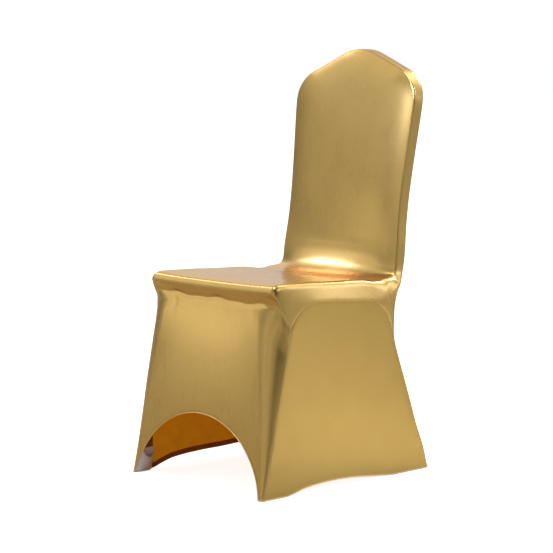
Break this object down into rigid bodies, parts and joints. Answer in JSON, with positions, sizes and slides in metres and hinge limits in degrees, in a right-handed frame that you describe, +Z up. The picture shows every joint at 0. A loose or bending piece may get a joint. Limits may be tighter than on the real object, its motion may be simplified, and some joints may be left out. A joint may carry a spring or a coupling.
{
  "type": "stretch chair cover",
  "caption": "Fitted stretch cloth cover for a high-backed banquet seat, with a pointed crown, flared skirt, arched front hem and foot pockets.",
  "frame": {"origin": "on the floor, under the middle of the cover's overall width and depth", "axes": "+Z up, the front faces -Y, +X is towards the right side seen from the front"},
  "size_m": [0.422, 0.5311, 0.93],
  "materials": {
    "outer_cloth": "metallic gold coated stretch knit, satin",
    "pocket_cloth": "plain grey woven cloth, matte"
  },
  "bodies": {
    "root": {"main_panel": "outer_cloth", "rear_panel": "outer_cloth", "side_panel_left": "outer_cloth", "side_panel_right": "outer_cloth", "foot_pocket_front_left": "pocket_cloth", "foot_pocket_front_right": "pocket_cloth", "foot_pocket_rear_left": "pocket_cloth", "foot_pocket_rear_right": "pocket_cloth"}
  },
  "joints": []
}
